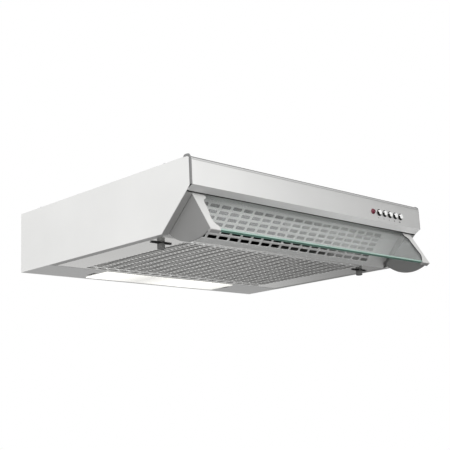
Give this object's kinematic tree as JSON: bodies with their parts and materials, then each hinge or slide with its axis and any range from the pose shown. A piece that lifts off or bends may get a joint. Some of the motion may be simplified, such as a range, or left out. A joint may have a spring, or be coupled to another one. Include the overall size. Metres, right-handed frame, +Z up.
{
  "type": "visor range hood",
  "caption": "Slim under-cabinet range hood with a folding glass visor, slotted grille and tray, rear lamp, push buttons and a round top outlet.",
  "frame": {"origin": "centre of the four cabinet screw holes on the top face", "axes": "+X to the right seen from the front, +Y back to the wall, +Z up"},
  "size_m": [0.6, 0.4934, 0.167],
  "materials": {
    "silver_paint": "satin silver-grey enamel on folded sheet",
    "cheek_plastic": "fine satin grey moulding with a pale strip",
    "white_plastic": "fine satin moulding",
    "glass": "clear toughened glass with a green edge",
    "lens": "opal diffuser",
    "bare_steel": "plain zinc-coated sheet",
    "aluminium": "mill finish",
    "black_plastic": "black moulding",
    "grey_plastic": "grey moulding",
    "dark_motor": "dark enamel",
    "button": "pale gloss button",
    "red_lens": "red translucent cap",
    "bulb": "frosted bulb",
    "wire": "sleeved wiring"
  },
  "bodies": {
    "casing": {"side_panel_left": "silver_paint", "side_panel_right": "silver_paint", "top_panel": "silver_paint", "back_panel": "silver_paint", "front_fascia": "silver_paint", "front_grille": "silver_paint", "grille_hangers": "bare_steel", "tray_bracket_left": "grey_plastic", "tray_bracket_right": "grey_plastic", "visor_pivot_left": "bare_steel", "visor_pivot_right": "bare_steel", "rear_lamp_plate": "silver_paint", "lamp_lens": "lens", "lamp_reflector": "aluminium", "lamp_holders": "white_plastic", "lamp_bulbs": "bulb", "blower_scroll": "black_plastic", "blower_inlet_plate": "black_plastic", "blower_motor": "dark_motor", "outlet_spigot": "black_plastic", "damper_rod": "bare_steel", "indicator_lamp": "red_lens", "switch_block": "grey_plastic", "terminal_box": "grey_plastic", "motor_capacitor": "aluminium", "cable_gland": "black_plastic", "wire_loom": "wire", "lamp_loom": "wire", "top_screws": "bare_steel", "spigot_screws": "bare_steel"},
    "visor": {"visor_glass": "glass", "visor_cheek_left": "cheek_plastic", "visor_cheek_right": "cheek_plastic"},
    "tray": {"filter_tray": "silver_paint", "tray_hinge_pins": "bare_steel", "filter_rim": "aluminium", "filter_mesh": "aluminium", "filter_retainers": "bare_steel"},
    "latch_left": {"grille_latch_left": "black_plastic"},
    "latch_right": {"grille_latch_right": "black_plastic"},
    "impeller": {"blower_impeller": "black_plastic", "motor_shaft": "bare_steel"},
    "flap_front": {"damper_flap_front": "black_plastic"},
    "flap_rear": {"damper_flap_rear": "black_plastic"},
    "button_lamp": {"push_button_lamp": "button"},
    "button_stop": {"push_button_stop": "button"},
    "button_speed_1": {"push_button_speed_1": "button"},
    "button_speed_2": {"push_button_speed_2": "button"},
    "button_speed_3": {"push_button_speed_3": "button"}
  },
  "joints": [
    {"name": "visor_hinge", "type": "hinge", "parent": "casing", "child": "visor", "pos_m": [0, -0.23349, -0.05399], "axis": [1, 0, 0], "range_deg": [0, 78]},
    {"name": "tray_hinge", "type": "hinge", "parent": "casing", "child": "tray", "pos_m": [0, 0.118, -0.1054], "axis": [1, 0, 0], "range_deg": [0, 70]},
    {"name": "latch_left_turn", "type": "hinge", "parent": "tray", "child": "latch_left", "pos_m": [-0.258, -0.13137, -0.11], "axis": [0, 0, 1], "range_deg": [0, 92]},
    {"name": "latch_right_turn", "type": "hinge", "parent": "tray", "child": "latch_right", "pos_m": [0.258, -0.13137, -0.11], "axis": [0, 0, -1], "range_deg": [0, 88]},
    {"name": "impeller_spin", "type": "hinge", "parent": "casing", "child": "impeller", "pos_m": [0, -0.055, -0.05], "axis": [0, 0, 1], "continuous": true},
    {"name": "damper_front", "type": "hinge", "parent": "casing", "child": "flap_front", "pos_m": [0, 0.05, 0.0153], "axis": [-1, 0, 0], "range_deg": [0, 75]},
    {"name": "damper_rear", "type": "hinge", "parent": "casing", "child": "flap_rear", "pos_m": [0, 0.05, 0.0153], "axis": [1, 0, 0], "range_deg": [0, 75]},
    {"name": "press_lamp", "type": "slide", "parent": "casing", "child": "button_lamp", "axis": [0, 1, 0], "range_m": [0, 0.0025], "stiffness_N_per_m": 300},
    {"name": "press_stop", "type": "slide", "parent": "casing", "child": "button_stop", "axis": [0, 1, 0], "range_m": [0, 0.0025], "stiffness_N_per_m": 300},
    {"name": "press_speed_1", "type": "slide", "parent": "casing", "child": "button_speed_1", "axis": [0, 1, 0], "range_m": [0, 0.0025], "stiffness_N_per_m": 300},
    {"name": "press_speed_2", "type": "slide", "parent": "casing", "child": "button_speed_2", "axis": [0, 1, 0], "range_m": [0, 0.0025], "stiffness_N_per_m": 300},
    {"name": "press_speed_3", "type": "slide", "parent": "casing", "child": "button_speed_3", "axis": [0, 1, 0], "range_m": [0, 0.0025], "stiffness_N_per_m": 300}
  ]
}
